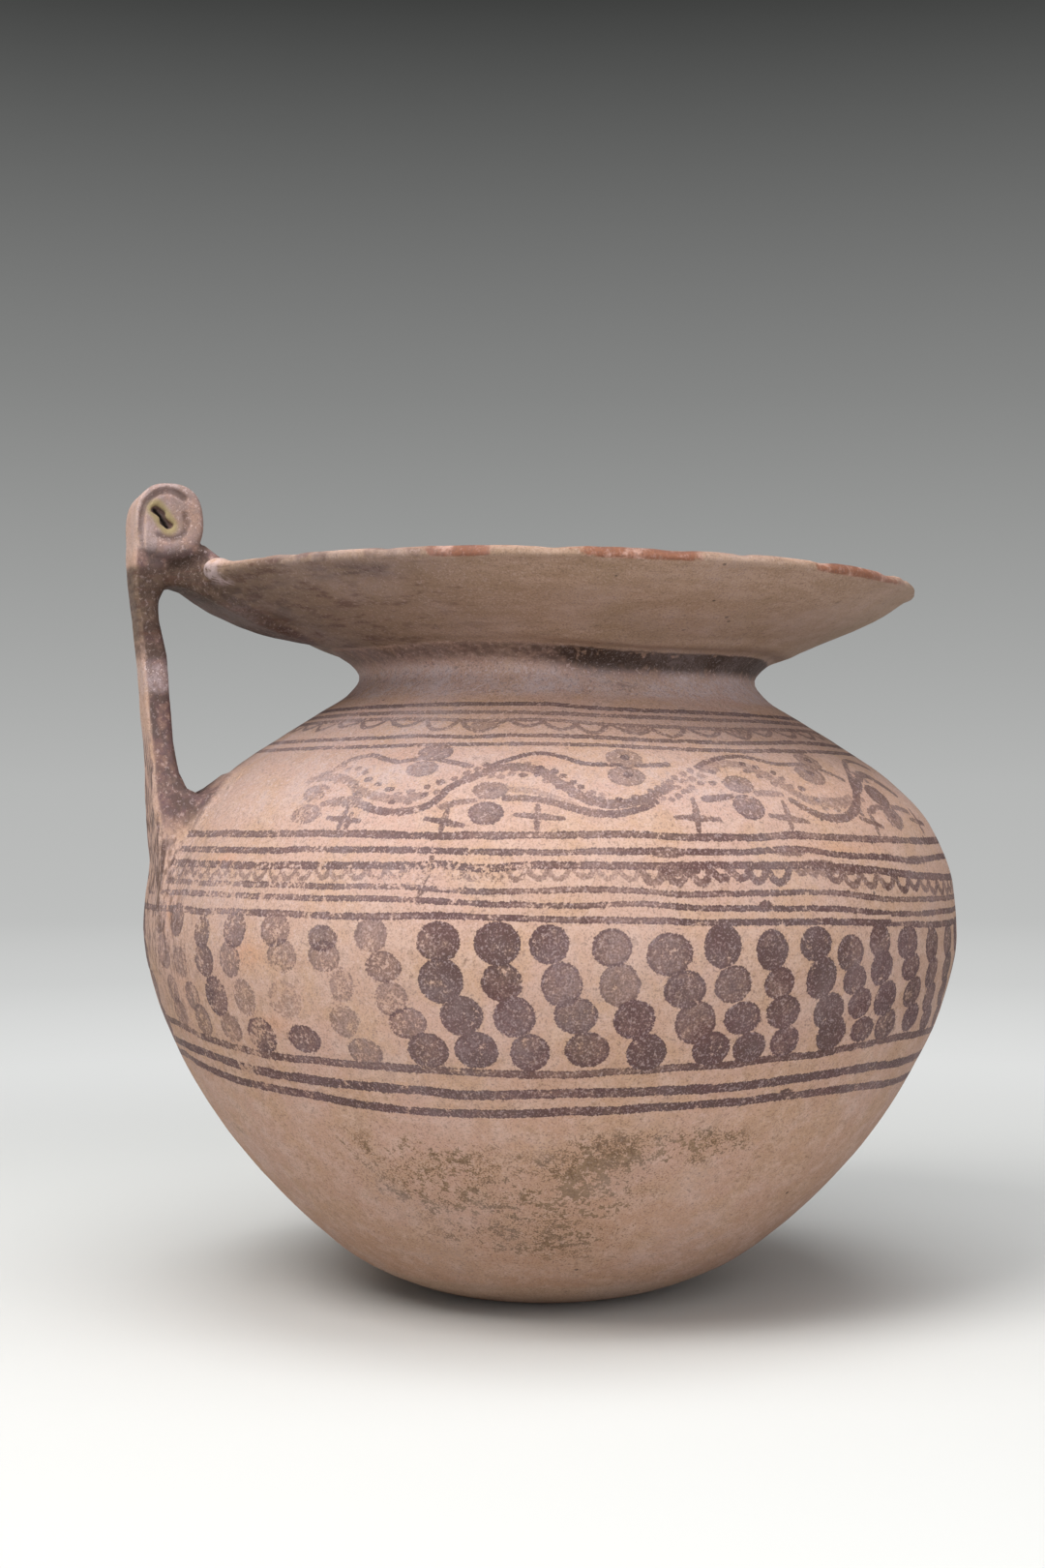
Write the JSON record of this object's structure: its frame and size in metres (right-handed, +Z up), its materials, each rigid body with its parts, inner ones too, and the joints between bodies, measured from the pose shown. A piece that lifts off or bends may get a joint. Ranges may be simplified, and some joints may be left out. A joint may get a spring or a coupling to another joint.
{
  "type": "jug",
  "caption": "Round-bellied terracotta jug with a short neck, wide funnel rim and a strap handle that rises above the rim and ends in a rolled volute.",
  "frame": {"origin": "centre of the flattened underside, on the surface that the jug stands on", "axes": "+Z up through the mouth, -X towards the strap handle, which lies in the XZ plane"},
  "size_m": [0.2628, 0.2565, 0.25],
  "materials": {
    "fired_clay": "matte, worn painted decoration"
  },
  "bodies": {
    "root": {"jug": "fired_clay"}
  },
  "joints": []
}
